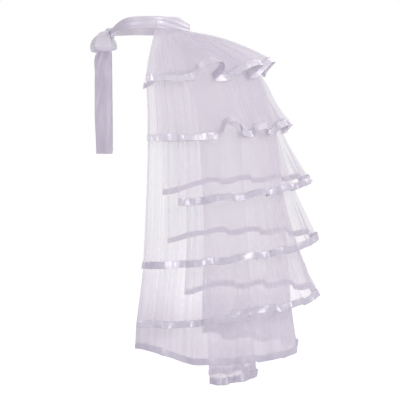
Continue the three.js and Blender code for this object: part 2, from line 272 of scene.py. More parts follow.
# %% Node helpers
def new_group(name, inputs, outputs):
    group = bpy.data.node_groups.new(name, "ShaderNodeTree")
    for label, kind, value in inputs:
        socket = group.interface.new_socket(label, in_out="INPUT", socket_type=kind)
        if value is not None:
            socket.default_value = value
    for label, kind in outputs:
        group.interface.new_socket(label, in_out="OUTPUT", socket_type=kind)
    return group, group.nodes.new("NodeGroupInput"), group.nodes.new("NodeGroupOutput")


def node(tree, kind, settings=None, values=None, links=None):
    made = tree.nodes.new(kind)
    for key, value in (settings or {}).items():
        setattr(made, key, value)
    for key, value in (values or {}).items():
        made.inputs[key].default_value = value
    for key, source in (links or {}).items():
        tree.links.new(source, made.inputs[key])
    return made


def math_node(tree, operation, a, b=0.0, c=0.0, clamp=False):
    made = tree.nodes.new("ShaderNodeMath")
    made.operation = operation
    made.use_clamp = clamp
    for socket, value in zip(made.inputs, (a, b, c)):
        if isinstance(value, (int, float)):
            socket.default_value = value
        else:
            tree.links.new(value, socket)
    return made.outputs[0]


VALUE = "NodeSocketFloat"
VECTOR = "NodeSocketVector"
print("node helpers ready")

# %% [markdown]
# Net has cells a little over a millimetre wide. They are too fine to model, so a node group draws
# them as the edges of a Voronoi pattern and gives a mask that is 1 on the threads. It is a group
# because the materials of all six tiers and of the train use it.

# %% Net cells group
net_cells, net_in, net_out = new_group(
    "net_cells",
    [("Cloth", VECTOR, None), ("Cells per metre", VALUE, 800.0), ("Thread", VALUE, 0.16)],
    [("Mask", VALUE)],
)
scaled = node(net_cells, "ShaderNodeVectorMath", {"operation": "SCALE"}, None,
              {"Vector": net_in.outputs["Cloth"], "Scale": net_in.outputs["Cells per metre"]})
cells = node(net_cells, "ShaderNodeTexVoronoi",
             {"feature": "DISTANCE_TO_EDGE", "voronoi_dimensions": "2D"},
             {"Scale": 1.0, "Randomness": 0.35}, {"Vector": scaled.outputs["Vector"]})
thread = node(net_cells, "ShaderNodeMapRange", {"interpolation_type": "SMOOTHSTEP"},
              {"From Min": 0.0, "To Min": 1.0, "To Max": 0.0},
              {"Value": cells.outputs["Distance"], "From Max": net_in.outputs["Thread"]})
net_cells.links.new(thread.outputs["Result"], net_out.inputs["Mask"])
print("net cells group:", len(net_cells.nodes), "nodes")

# %% [markdown]
# Gathered cloth shows fine lines that run down from the seam: where the cloth is bunched, more
# thread lies in the way of the light. A second group draws those lines with a noise that is stretched
# along the fall of the cloth. The satin uses it too, for the creases along the sash.

# %% Fall lines group
fall_lines, fall_in, fall_out = new_group(
    "fall_lines",
    [("Cloth", VECTOR, None), ("Lines per metre", VALUE, 120.0), ("Change per metre", VALUE, 2.5),
     ("Sharpness", VALUE, 1.0)],
    [("Lines", VALUE)],
)
fall_split = node(fall_lines, "ShaderNodeSeparateXYZ", None, None, {"Vector": fall_in.outputs["Cloth"]})
across = math_node(fall_lines, "MULTIPLY", fall_split.outputs["X"], fall_in.outputs["Lines per metre"])
along = math_node(fall_lines, "MULTIPLY", fall_split.outputs["Y"], fall_in.outputs["Change per metre"])
stretched = node(fall_lines, "ShaderNodeCombineXYZ", None, None, {"X": across, "Y": along})
lines = node(fall_lines, "ShaderNodeTexNoise", {"noise_dimensions": "2D"},
             {"Scale": 1.0, "Detail": 3.0, "Roughness": 0.6}, {"Vector": stretched.outputs["Vector"]})
centred = math_node(fall_lines, "SUBTRACT", lines.outputs["Fac"], 0.5)
sharpened = math_node(fall_lines, "MULTIPLY_ADD", centred, fall_in.outputs["Sharpness"], 0.5, clamp=True)
fall_lines.links.new(sharpened, fall_out.inputs["Lines"])
print("fall lines group:", len(fall_lines.nodes), "nodes")

# %% [markdown]
# Satin is woven so that long threads lie side by side along the ribbon, and these give its shine.
# A third group draws the threads as fine lines across the width, with small slubs.

# %% Satin threads group
satin_threads, satin_in, satin_out = new_group(
    "satin_threads",
    [("Cloth", VECTOR, None), ("Threads per metre", VALUE, 3000.0), ("Slub", VALUE, 0.5)],
    [("Height", VALUE), ("Tone", VALUE)],
)
satin_split = node(satin_threads, "ShaderNodeSeparateXYZ", None, None,
                   {"Vector": satin_in.outputs["Cloth"]})
threads_per_metre = satin_in.outputs["Threads per metre"]
fine = math_node(satin_threads, "MULTIPLY", satin_split.outputs["Y"], threads_per_metre)
SLUB_LENGTH_SHARE = 0.03
long_way = math_node(satin_threads, "MULTIPLY", satin_split.outputs["X"], threads_per_metre)
long_way = math_node(satin_threads, "MULTIPLY", long_way, SLUB_LENGTH_SHARE)
satin_place = node(satin_threads, "ShaderNodeCombineXYZ", None, None, {"X": long_way, "Y": fine})
slubs = node(satin_threads, "ShaderNodeTexNoise", {"noise_dimensions": "2D"},
             {"Scale": 1.0, "Detail": 2.0}, {"Vector": satin_place.outputs["Vector"]})
slub_share = math_node(satin_threads, "MULTIPLY", slubs.outputs["Fac"], satin_in.outputs["Slub"])
satin_threads.links.new(slub_share, satin_out.inputs["Height"])
satin_threads.links.new(slubs.outputs["Fac"], satin_out.inputs["Tone"])
print("satin threads group:", len(satin_threads.nodes), "nodes")

# %% [markdown]
# The net's own material: a matt lavender white, with how much of the light it stops in the alpha.
# Along the fall lines its tint turns deeper, which is painted shade in the gathers.
# That share is the average of the net, times its cells, times the fall lines. It rises towards the
# gathered seam at the waist, along the front edges and behind, and it may rise again towards the hem
# where a tier has a second layer. For the rays that light the cloth behind, the net stops less than
# the camera sees, because real net scatters much of the light on instead of swallowing it.

# %% Net material
NET_TINT = (0.845, 0.80, 0.85, 1.0)
NET_TINT_FOLD_SHADE = (0.76, 0.715, 0.80, 1.0)
NET_ROUGHNESS = 0.8
NET_SHEEN = 0.15
NET_SPECULAR = 0.2
NET_BUMP_STRENGTH = 0.3
NET_BUMP_DEPTH = 0.002
COARSE_LINES = {"Lines per metre": 110.0, "Change per metre": 1.2, "Sharpness": 1.9}
FINE_LINES = {"Lines per metre": 300.0, "Change per metre": 1.6, "Sharpness": 2.0}
COARSE_RANGE = (0.7, 1.2)
FINE_RANGE = (0.85, 1.15)
CELL_RANGE = (0.8, 1.3)
SHADE_SHARE = 0.15
UPPER_SHADE_SHARE = 0.32
WAIST_REACH = 0.16
WAIST_FULLNESS = 1.5
EDGE_WIDTH = 0.007
EDGE_FULLNESS = 1.9
NEAR_EDGE = 0.09
NEAR_EDGE_FULLNESS = 1.4
EDGE_FLAT_SHARE = 0.4
BACK_FROM, BACK_TO = 0.17, 0.38
BACK_FULLNESS = 1.9


def cloth_group(tree, group, cloth, values=None):
    """Places a node group that is laid out on the cloth's own coordinates."""
    return node(tree, "ShaderNodeGroup", {"node_tree": group}, values, {"Cloth": cloth})


def eased(tree, value, low, high, start, end):
    """A value that turns softly from start to end while the given one goes from low to high."""
    made = node(tree, "ShaderNodeMapRange", {"interpolation_type": "SMOOTHSTEP"},
                {"From Min": low, "From Max": high, "To Min": start, "To Max": end}, {"Value": value})
    return made.outputs["Result"]


def within(tree, pattern, ends):
    """A pattern from 0 to 1, spread between two ends."""
    return math_node(tree, "MULTIPLY_ADD", pattern, ends[1] - ends[0], ends[0])


def light_stopped(tree, cloth, coarse, density, edges):
    """The share of the light that the net stops at each place. density gives it near the waist and at
    the hem, and the depths between which it changes. edges are the places of the two front edges."""
    near_waist, at_hem, change_from, change_to = density
    fine = cloth_group(tree, fall_lines, cloth, FINE_LINES)
    cells = cloth_group(tree, net_cells, cloth)
    place = node(tree, "ShaderNodeSeparateXYZ", None, None, {"Vector": cloth}).outputs
    from_edge = math_node(tree, "MINIMUM", math_node(tree, "SUBTRACT", place["X"], edges[0]),
                          math_node(tree, "SUBTRACT", edges[1], place["X"]))
    fullness = within(tree, coarse.outputs["Lines"], COARSE_RANGE)
    for share in (
        within(tree, fine.outputs["Lines"], FINE_RANGE),
        within(tree, cells.outputs["Mask"], CELL_RANGE),
        eased(tree, place["Y"], 0.0, WAIST_REACH, WAIST_FULLNESS, 1.0),
        eased(tree, from_edge, EDGE_FLAT_SHARE * EDGE_WIDTH, EDGE_WIDTH, EDGE_FULLNESS, 1.0),
        eased(tree, from_edge, EDGE_FLAT_SHARE * NEAR_EDGE, NEAR_EDGE, NEAR_EDGE_FULLNESS, 1.0),
        eased(tree, from_edge, BACK_FROM, BACK_TO, 1.0, BACK_FULLNESS),
    ):
        fullness = math_node(tree, "MULTIPLY", fullness, share)
    average = eased(tree, place["Y"], change_from, change_to, near_waist, at_hem)
    swing = math_node(tree, "SUBTRACT", 1.0, average)
    swing = math_node(tree, "MULTIPLY", swing, math_node(tree, "SUBTRACT", fullness, 1.0))
    swing = math_node(tree, "ADD", swing, 1.0)
    return math_node(tree, "MULTIPLY", average, swing, clamp=True)


def net_material(name, density, edges, shade_share):
    material = bpy.data.materials.new(name)
    material.use_nodes = True
    tree = material.node_tree
    shader = tree.nodes["Principled BSDF"]
    shader.inputs["Roughness"].default_value = NET_ROUGHNESS
    shader.inputs["Sheen Weight"].default_value = NET_SHEEN
    shader.inputs["Specular IOR Level"].default_value = NET_SPECULAR
    cloth = node(tree, "ShaderNodeUVMap", {"uv_map": "cloth"}).outputs["UV"]
    coarse = cloth_group(tree, fall_lines, cloth, COARSE_LINES)
    stops = light_stopped(tree, cloth, coarse, density, edges)
    ray = node(tree, "ShaderNodeLightPath").outputs
    lights = math_node(tree, "ADD", ray["Is Shadow Ray"], ray["Is Diffuse Ray"], clamp=True)
    shade = math_node(tree, "MULTIPLY_ADD", lights, shade_share - 1, 1.0)
    tree.links.new(math_node(tree, "MULTIPLY", stops, shade), shader.inputs["Alpha"])
    # The deeper tint along the fall lines is painted shade in the gathers.
    tint = node(tree, "ShaderNodeMix", {"data_type": "RGBA"}, None, {"Factor": coarse.outputs["Lines"]})
    tint.inputs["A"].default_value = NET_TINT
    tint.inputs["B"].default_value = NET_TINT_FOLD_SHADE
    tree.links.new(tint.outputs["Result"], shader.inputs["Base Color"])
    bump = node(tree, "ShaderNodeBump", None,
                {"Strength": NET_BUMP_STRENGTH, "Distance": NET_BUMP_DEPTH},
                {"Height": coarse.outputs["Lines"]})
    tree.links.new(bump.outputs["Normal"], shader.inputs["Normal"])
    return material


print("net material maker ready")

# %% [markdown]
# Satin needs a shine that is stretched along its threads, so the anisotropic setting does most of
# the work. A little metallic keeps the highlights bright without turning the cloth grey.
# Seen from inside, against the light, a ribbon is paler than from outside, because light shines
# through it. So a ribbon's shell gets a second material on its inner face. The Backfacing value tells
# each face from which side it is seen, and lowers the alpha only where that is the inner side.

# %% Satin material
# One satin cloth gets several tints here. The band, the knot, the bow and the ribbons of the two upper
# tiers have lighter copies of it, which are painted light for the brighter light that falls on them.
RIBBON_TINTS = ((0.77, 0.745, 0.81, 1.0), (0.67, 0.635, 0.72, 1.0))
LIT_RIBBON_TINTS = ((0.87, 0.85, 0.90, 1.0), (0.78, 0.75, 0.82, 1.0))
SASH_TINTS = ((0.74, 0.71, 0.775, 1.0), (0.66, 0.615, 0.695, 1.0))
BAND_LIT_TINTS = ((0.88, 0.855, 0.91, 1.0), (0.80, 0.76, 0.835, 1.0))
BOW_LIT_TINTS = ((0.92, 0.905, 0.95, 1.0), (0.85, 0.825, 0.88, 1.0))
SATIN_METALLIC = 0.24
SATIN_ROUGHNESS = 0.34
SATIN_ROUGHNESS_SWING = 0.12
SATIN_ANISOTROPY = 0.6
SATIN_SHEEN = 0.1
SATIN_CREASES = {"Lines per metre": 120.0, "Change per metre": 9.0, "Sharpness": 1.5}
CREASE_STRENGTH = 0.5
GRAIN_STRENGTH = 0.25
GRAIN_DEPTH = 0.00008
RIBBON_WEAVE = dict(threads=3400.0, crease_depth=0.0012)
SASH_WEAVE = dict(threads=2800.0, crease_depth=0.0014)
RIBBON_SHINES_THROUGH = 0.5
SASH_SHINES_THROUGH = 0.4
BOW_SHINES_THROUGH = 0.5


def satin_material(name, tints, weave, shines_through, inner_face=False):
    """shines_through is the share of the light that passes where the cloth is seen from its inner side."""
    material = bpy.data.materials.new(name)
    material.use_nodes = True
    tree = material.node_tree
    shader = tree.nodes["Principled BSDF"]
    shader.inputs["Metallic"].default_value = SATIN_METALLIC
    shader.inputs["Anisotropic"].default_value = SATIN_ANISOTROPY
    shader.inputs["Sheen Weight"].default_value = SATIN_SHEEN
    cloth = node(tree, "ShaderNodeUVMap", {"uv_map": "cloth"}).outputs["UV"]
    threads = cloth_group(tree, satin_threads, cloth, {"Threads per metre": weave["threads"]})
    turned = node(tree, "ShaderNodeVectorRotate", {"rotation_type": "Z_AXIS"},
                  {"Angle": math.radians(90)}, {"Vector": cloth})
    creases = cloth_group(tree, fall_lines, turned.outputs["Vector"], SATIN_CREASES)
    tint = node(tree, "ShaderNodeMix", {"data_type": "RGBA"}, None, {"Factor": threads.outputs["Tone"]})
    tint.inputs["A"].default_value, tint.inputs["B"].default_value = tints
    tree.links.new(tint.outputs["Result"], shader.inputs["Base Color"])
    rough = math_node(tree, "MULTIPLY_ADD", threads.outputs["Tone"], SATIN_ROUGHNESS_SWING,
                      SATIN_ROUGHNESS - SATIN_ROUGHNESS_SWING / 2)
    tree.links.new(rough, shader.inputs["Roughness"])
    from_behind = node(tree, "ShaderNodeNewGeometry").outputs["Backfacing"]
    if inner_face:
        alpha = math_node(tree, "MULTIPLY_ADD", from_behind, shines_through, 1 - shines_through)
    else:
        alpha = math_node(tree, "MULTIPLY_ADD", from_behind, -shines_through, 1.0)
    tree.links.new(alpha, shader.inputs["Alpha"])
    folds = node(tree, "ShaderNodeBump", None,
                 {"Strength": CREASE_STRENGTH, "Distance": weave["crease_depth"]},
                 {"Height": creases.outputs["Lines"]})
    grain = node(tree, "ShaderNodeBump", None, {"Strength": GRAIN_STRENGTH, "Distance": GRAIN_DEPTH},
                 {"Height": threads.outputs["Height"], "Normal": folds.outputs["Normal"]})
    tree.links.new(grain.outputs["Normal"], shader.inputs["Normal"])
    tangent = node(tree, "ShaderNodeTangent", {"direction_type": "UV_MAP", "uv_map": "cloth"})
    tree.links.new(tangent.outputs["Tangent"], shader.inputs["Tangent"])
    return material


def satin_pair(kind, tints, weave, shines_through):
    """The materials of a shell's outer face and of its inner face."""
    outside = satin_material(kind + "_satin", tints, weave, shines_through)
    inside = satin_material(kind + "_inside", tints, weave, shines_through, inner_face=True)
    return outside, inside


ribbon_satin, ribbon_inside = satin_pair("ribbon", RIBBON_TINTS, RIBBON_WEAVE, RIBBON_SHINES_THROUGH)
lit_ribbon_satin = satin_material("lit_ribbon_satin", LIT_RIBBON_TINTS, RIBBON_WEAVE, RIBBON_SHINES_THROUGH)
sash_satin, sash_inside = satin_pair("sash", SASH_TINTS, SASH_WEAVE, SASH_SHINES_THROUGH)
band_lit_satin = satin_material("band_lit_satin", BAND_LIT_TINTS, SASH_WEAVE, SASH_SHINES_THROUGH)
bow_lit_satin, bow_lit_inside = satin_pair("bow", BOW_LIT_TINTS, SASH_WEAVE, BOW_SHINES_THROUGH)
print("satin materials:", ribbon_satin.name, lit_ribbon_satin.name, sash_satin.name, bow_lit_satin.name)

# %% [markdown]
# All tiers lie on one hollow form, like the laths of a bustle frame. It is given ring by ring from
# the band down, with the same numbers as in the CAD model: the half width, the place of the centre
# back and of the front edges, the heights at the side and behind, and the angles along which layers
# stack outwards. A smooth curve through the rings gives the cloth its even swell.

# %% The form under the tiers
FORM_RINGS = [
    (115, 87, 18, -14.4, -14.4, 0, 0),
    (118, 91, 16, -27, -26, 12, 42),
    (140, 156, 8, -70, -52, 22, 62),
    (161, 222, 2, -112, -92, 22, 58),
    (178, 270, 1, -150, -138, 20, 50),
    (194, 290, 4, -212, -202, 12, 25),
    (204, 309, 4, -277, -272, 8, 22),
    (214, 326, 0, -422, -403, 6, 12),
    (218, 339, -7, -560, -545, 5, 10),
    (212, 349, -23, -703, -684, 5, 10),
    (203, 356, -28, -797, -812, 5, 8),
]
TRAIN_RINGS = [
    (54, 85, 74, -14.4, -14.4, 0, 0),
    (56, 87, 76, -34, -36, 8, 20),
    (60, 150, 92, -110, -96, 10, 45),
    (64, 204, 112, -200, -185, 10, 30),
    (70, 228, 126, -360, -350, 5, 8),
    (74, 242, 136, -600, -600, 3, 5),
    (80, 254, 146, -876, -879, 3, 5),
]
RIGHT_DROP = 24
RIGHT_DROP_HEIGHT = 300
LAYER_PITCH = 2.2


class Form:
    """A smooth hollow form through rings, with the depth down the cloth as its ruler."""

    def __init__(self, rings):
        self.rings = np.array(rings, float)
        half, back, _, side, rear = self.rings.T[:5]
        beside = np.hypot(np.diff(half), np.diff(side))
        behind = np.hypot(np.diff(back), np.diff(rear))
        self.depths = np.concatenate([[0], np.cumsum((beside + behind) / 2)])

    def points(self, depth, around):
        """Points, stacking directions and how far behind each place is, for grids of depth and around."""
        rings = smooth_line(self.depths, self.rings, depth)
        half, back, front, side, rear, side_lift, rear_lift = np.moveaxis(rings, -1, 0)
        angle = math.pi * around
        behind = np.sin(angle) ** 2
        reach = back - front
        drop = np.where(around > 0.5, RIGHT_DROP, 0) * np.clip(-side / RIGHT_DROP_HEIGHT, 0, 1)
        place = np.stack([
            half * np.cos(angle),
            front + reach * np.sin(angle),
            mixed(side - drop, rear, behind),
        ], axis=-1)
        level = np.stack([reach * np.cos(angle), half * np.sin(angle), np.zeros_like(angle)], axis=-1)
        level /= np.linalg.norm(level, axis=-1, keepdims=True)
        lift = np.radians(mixed(side_lift, rear_lift, behind))[..., None]
        direction = level * np.cos(lift)
        direction[..., 2] = np.sin(lift)[..., 0]
        sideways = np.stack([-level[..., 1], level[..., 0], level[..., 2]], axis=-1)
        return place, direction, sideways, behind


tier_form = Form(FORM_RINGS)
train_form = Form(TRAIN_RINGS)
print("form depths in mm:", tier_form.depths.round())

# %% [markdown]
# A tier's cloth starts at the band in tight gathers, falls over the form, and flares out over its
# last stretch into flutes. Most numbers are the CAD model's: how far round the tier goes, its place in
# the stack, its flare at the side and behind, and its waves. flip lifts one flute and corner the left
# front corner. right_lift lifts the right front edge over the stretch lift_over, and flap brings it
# forward. rise lifts the crests of the flutes. The flips, the rises, and tier 6's corner and
# right_lift are up to four millimetres off the CAD model's. Only the scene has lean and roll,
# which push the crests sideways so that they bend over like real ones, and pleat, which lays one fold
# over the next. density is the share of the light that the net stops near the waist and at the hem,
# and the two depths in metres down from the band between which it changes.

# %% The tiers' numbers
COLUMNS_OF_CAD = 60
PLAIN = dict(form=tier_form, first=0, last=60, flip=0, flip_at=0, corner=0, right_lift=0,
             lift_over=(0, 1), flap=0, pleat=None)
TIER_5_PLEAT = dict(at=0.207, reach=0.016, overlap=38, apart=6, step=14)
TIERS = [
    dict(PLAIN, name="tier_1", last_ring=4, layer=5, flare=(20, 24), length=122, power=0.9,
         ruffle=(3, 20), waves=7.3, phase=-0.13, deep_from=0.12, flip=18, flip_at=0.141,
         right_lift=36, lift_over=(0, 0.06), flap=32, rise=8, lean=18, roll=9,
         seed=11, density=(0.19, 0.20, 0.1, 0.3)),
    dict(PLAIN, name="tier_2", last_ring=6, layer=4, flare=(20, 27), length=190, power=2.2,
         ruffle=(3, 13), waves=10, phase=0.1, deep_from=0.155, flip=22, flip_at=0.186,
         rise=13, lean=-5, roll=6, seed=22, density=(0.2, 0.25, 0.2, 0.35)),
    dict(PLAIN, name="tier_3", last_ring=7, first=4, last=59, layer=3, flare=(32, 62), length=240,
         power=2, ruffle=(5, 9), waves=11.5, phase=0.2, deep_from=0.1, right_lift=24,
         lift_over=(0.03, 0.12), rise=6, lean=6, roll=5, seed=33, density=(0.14, 0.17, 0.2, 0.5)),
    dict(PLAIN, name="tier_4", last_ring=8, last=58, layer=2, flare=(40, 66), length=300,
         power=1.6, ruffle=(7, 8), waves=11, phase=0.7, deep_from=0.1, right_lift=22,
         lift_over=(0.03, 0.12), rise=6, lean=6, roll=5, seed=44, density=(0.13, 0.18, 0.3, 0.6)),
    dict(PLAIN, name="tier_5", last_ring=9, last=55, layer=1, flare=(24, 64), length=300,
         power=1.6, ruffle=(8, 8), waves=10.5, phase=0.3, deep_from=0.1, corner=6, right_lift=16,
         lift_over=(0.08, 0.14), rise=7, lean=7, roll=5, pleat=TIER_5_PLEAT, seed=55,
         density=(0.14, 0.32, 0.42, 0.68)),
    dict(PLAIN, name="tier_6", last_ring=10, last=52, layer=0, flare=(6, 8), length=240,
         power=1.6, ruffle=(6, 7), waves=10, phase=0.6, deep_from=0.1, corner=44, right_lift=-18,
         lift_over=(0.14, 0.21), rise=5, lean=4, roll=3, seed=66, density=(0.13, 0.8, 0.61, 0.82)),
    dict(PLAIN, name="train", form=train_form, last_ring=6, layer=0, flare=(2, 4), length=560,
         power=1.6, ruffle=(6, 8), waves=6, phase=0.5, deep_from=0.1, rise=5, lean=4, roll=3,
         seed=77, density=(0.12, 0.78, 0.76, 0.9)),
]
print("panels:", [tier["name"] for tier in TIERS])

# %% [markdown]
# The gathers are the same in all tiers near the waist, because all are sewn into one seam. Lower
# down each tier finds its own folds. They are two lines of random heights, a broad and a fine one,
# folded at zero so that they have the crisp ridges of net and not the round hills of a blanket.

# %% Gathers
BROAD_FOLDS = 52
FINE_FOLDS = 130
GATHER_DEPTH = 0.85
BROAD_PART, FINE_PART = 0.6, 0.4
FINE_FADE_FROM, FINE_FADE_TO = 20, 260
FINE_LEFT = 0.25
GATHER_DRIFT, GATHER_DRIFT_STEP = 0.5, 120
SHARED_LOST_AT_HEM = 0.6
OWN_BROAD_SHARE, OWN_BROAD_DEPTH = 0.55, 1.7
OWN_FINE_SHARE, OWN_FINE_DEPTH = 1.7, 0.6
OWN_DRIFT, OWN_DRIFT_STEP = 0.8, 90
DRIFT_SEED, BROAD_SEED, FINE_SEED = 5, 7, 8


def creased(x, seed):
    return 1 - 2 * np.abs(wander(x, seed))


def gathers(depth, around, free, seed):
    """How far the cloth stands out at each place. free is 0 where layers lie together and 1 at a hem."""
    drift = GATHER_DRIFT * wander(depth / GATHER_DRIFT_STEP, DRIFT_SEED)
    broad = creased(around * BROAD_FOLDS + drift, BROAD_SEED)
    fade = mixed(1.0, FINE_LEFT, smoothstep(depth, FINE_FADE_FROM, FINE_FADE_TO))
    fine = creased(around * FINE_FOLDS + 2 * drift, FINE_SEED) * fade
    shared = GATHER_DEPTH * (BROAD_PART * broad + FINE_PART * fine)
    own_drift = OWN_DRIFT * wander(depth / OWN_DRIFT_STEP, seed)
    own = creased(around * BROAD_FOLDS * OWN_BROAD_SHARE + own_drift, seed + 1)
    own_fine = creased(around * BROAD_FOLDS * OWN_FINE_SHARE + own_drift, seed + 2)
    own_depth = OWN_BROAD_DEPTH * own + OWN_FINE_DEPTH * own_fine
    return shared * (1 - SHARED_LOST_AT_HEM * free) + free * own_depth


print("gathers ready")

# %% [markdown]
# The shape of a tier is its place on the form, pushed outwards by its layer, its flare, its waves and
# its gathers. The flare and the waves grow with free, which is 0 where the layers lie on each other
# and 1 at the hem. Last come the lifts of single places, and the fold of the tier that has one.

# %% Shape of a tier
DEEPENING = 0.04
FLIP_OUT = 0.5
FLIP_RISE = 0.02
FLIP_FALL = 0.034
CORNER_SHARE = 0.14
FLAP_SHARE = 0.08
RUFFLE_SWING, RUFFLE_CHANGES = 0.3, 17
WAVE_SWING, WAVE_CHANGES = 0.1, 9
ROLL_POWER = 1.5
PLEAT_POWER = 3
PLEAT_STEP_POWER = 2
PLEAT_STEP_HALF = 0.5
PLEAT_FADE = 7
PLEAT_PEAK = math.exp(0.5)


def flip_share(past):
    """A flipped flute rises quickly to its place and sinks slowly behind it."""
    return np.where(past < 0, smoothstep(past, -FLIP_RISE, 0), np.exp(-((past / FLIP_FALL) ** 2)))


def lay_pleat(cloth, pleat, free, around, direction, sideways):
    """Draws one fold over its neighbour and lifts the hem in a step, which fades away behind it."""
    past = (around - pleat["at"]) / pleat["reach"]
    swing = -PLEAT_PEAK * past * np.exp(-(past**2) / 2)
    cloth += sideways * (free**PLEAT_POWER * pleat["overlap"] * swing)[..., None]
    cloth += direction * (free**PLEAT_POWER * pleat["apart"] * swing)[..., None]
    step = free**PLEAT_STEP_POWER * pleat["step"] * smoothstep(past, -PLEAT_STEP_HALF, PLEAT_STEP_HALF)
    cloth[..., 2] += step * np.exp(-np.maximum(past, 0) / PLEAT_FADE)


def tier_points(tier, depth, around):
    """Points of the cloth for grids of depth in mm and around from 0 to 1."""
    form, hem_depth = tier["form"], tier["form"].depths[tier["last_ring"]]
    place, direction, sideways, behind = form.points(depth, around)
    hem = form.points(np.full_like(depth, hem_depth), around)[0]
    above_hem = place[..., 2] - hem[..., 2]
    free = np.clip((tier["length"] - above_hem) / tier["length"], 0, 1) ** tier["power"]
    from_edge = np.minimum(around, 1 - around)
    deep = smoothstep(from_edge, tier["deep_from"], tier["deep_from"] + DEEPENING)
    seed = tier["seed"]
    uneven = 1 + RUFFLE_SWING * wander(around * RUFFLE_CHANGES, seed + 3)
    ruffle = mixed(*tier["ruffle"], deep) * uneven
    shifted = WAVE_SWING * wander(around * WAVE_CHANGES, seed + 4)
    turn = 2 * math.pi * (tier["waves"] * around + tier["phase"] + shifted)
    flare = mixed(*tier["flare"], behind)
    flip = tier["flip"] * flip_share(from_edge - tier["flip_at"])
    from_first = around - tier["first"] / COLUMNS_OF_CAD
    corner = tier["corner"] * (1 - smoothstep(from_first, 0, CORNER_SHARE))
    flap = tier["flap"] * (1 - smoothstep(1 - around, 0, FLAP_SHARE))
    out = tier["layer"] * LAYER_PITCH + free * (flare + ruffle * np.cos(turn) + FLIP_OUT * flip)
    out = out + gathers(depth, around, free, seed)
    lean = tier["lean"] * np.sign(0.5 - around) * np.cos(turn)
    roll = free**ROLL_POWER * deep * (lean + tier["roll"] * np.sin(2 * turn))
    cloth = place + direction * out[..., None] + sideways * roll[..., None]
    right_side = np.where(around > 0.5, (1 - behind) * smoothstep(1 - around, *tier["lift_over"]), 0)
    crest = deep * tier["rise"] * (1 + np.cos(turn)) / 2
    cloth[..., 1] -= free * flap
    cloth[..., 2] += free * (corner + flip + crest + tier["right_lift"] * right_side)
    if tier["pleat"]:
        lay_pleat(cloth, tier["pleat"], free, around, direction, sideways)
    return cloth


print("tier shape ready")

# %% [markdown]
# Each tier is one open sheet: net has no thickness that shows. Its rows are spread evenly
# down each column, and the last few, where the hem ribbon lies, are closer together.

# %% Grid of a tier
RIBBON_WIDTH = 16
COLUMN_STEP = 1.55
ROW_STEP = 8.0
TRIAL_COLUMNS = 400
HEM_ROWS = 4
NOMINAL_WIDTH = 1000
TRAIN_WIDTH = 300


def grid_normals(grid):
    down = np.gradient(grid, axis=0)
    right = np.gradient(grid, axis=1)
    normals = np.cross(down, right)
    return normals / np.linalg.norm(normals, axis=-1, keepdims=True)


def line_length(points):
    return float(np.linalg.norm(np.diff(points, axis=0), axis=-1).sum())


def along_columns(grid, heights):
    """New rows of a grid, and the length of each column. heights gives each new row's distance up
    from the hem, for every column or for all of them at once."""
    columns = grid.shape[1]
    heights = np.broadcast_to(heights, (len(heights), columns))
    steps = np.linalg.norm(np.diff(grid[::-1], axis=0), axis=-1)
    up = np.concatenate([np.zeros((1, columns)), np.cumsum(steps, axis=0)])
    rows = np.empty((len(heights), columns, 3))
    for c in range(columns):
        for axis in range(3):
            rows[:, c, axis] = np.interp(heights[:, c], up[:, c], grid[::-1, c, axis])
    return rows, up[-1]


def tier_grid(tier):
    """The points of a tier, their places on the cloth, and where its two front edges are on it."""
    hem_depth = tier["form"].depths[tier["last_ring"]]
    ends = np.array([tier["first"], tier["last"]]) / COLUMNS_OF_CAD
    trial = np.linspace(*ends, TRIAL_COLUMNS)
    hem = tier_points(tier, np.full((1, TRIAL_COLUMNS), hem_depth), trial[None, :])[0]
    around = np.linspace(*ends, int(line_length(hem) / COLUMN_STEP))
    depths = np.linspace(0, hem_depth, int(hem_depth / ROW_STEP))
    depth, round_grid = np.meshgrid(depths, around, indexing="ij")
    grid = tier_points(tier, depth, round_grid)
    ribbon_heights = RIBBON_WIDTH * np.linspace(1, 0, HEM_ROWS)[:, None]
    lowest, fall = along_columns(grid, ribbon_heights)
    body = RIBBON_WIDTH + (fall - RIBBON_WIDTH) * np.linspace(1, 0, len(depths) - 1)[:-1, None]
    upper, _ = along_columns(grid, body)
    body_depths = np.linspace(0, hem_depth - RIBBON_WIDTH, len(depths) - 1)[:-1]
    depths = np.concatenate([body_depths, hem_depth - ribbon_heights[:, 0]])
    width = NOMINAL_WIDTH if tier["form"] is tier_form else TRAIN_WIDTH
    uv = np.stack(np.meshgrid(around * width, depths), axis=-1)
    return np.concatenate([upper, lowest]), uv, ends * width * MM


print("tier grids ready")

# %% [markdown]
# The hem ribbon is a separate thin shell that lies on the last sixteen millimetres of its tier, as it
# is sewn on. It puckers a little between the stitches, which breaks up its shine. The ribbons of the
# two upper tiers get a lighter copy of the satin, which is painted light.

# %% Hem ribbon
RIBBON_GAP = 0.7
RIBBON_THICK = 0.5
RIBBON_CROWN = 0.35
RIBBON_ROWS = np.array([0, 0.6, 3, 5.5, 8, 10.5, 13, 15.4, 16.0])
UPPER_FROM_LAYER = 4
PUCKER_TILT = 2.7
PUCKER_STEP = 34
FINE_PUCKER_SHARE, FINE_PUCKER_STEP = 0.5, 11
PUCKER_SEED = 500


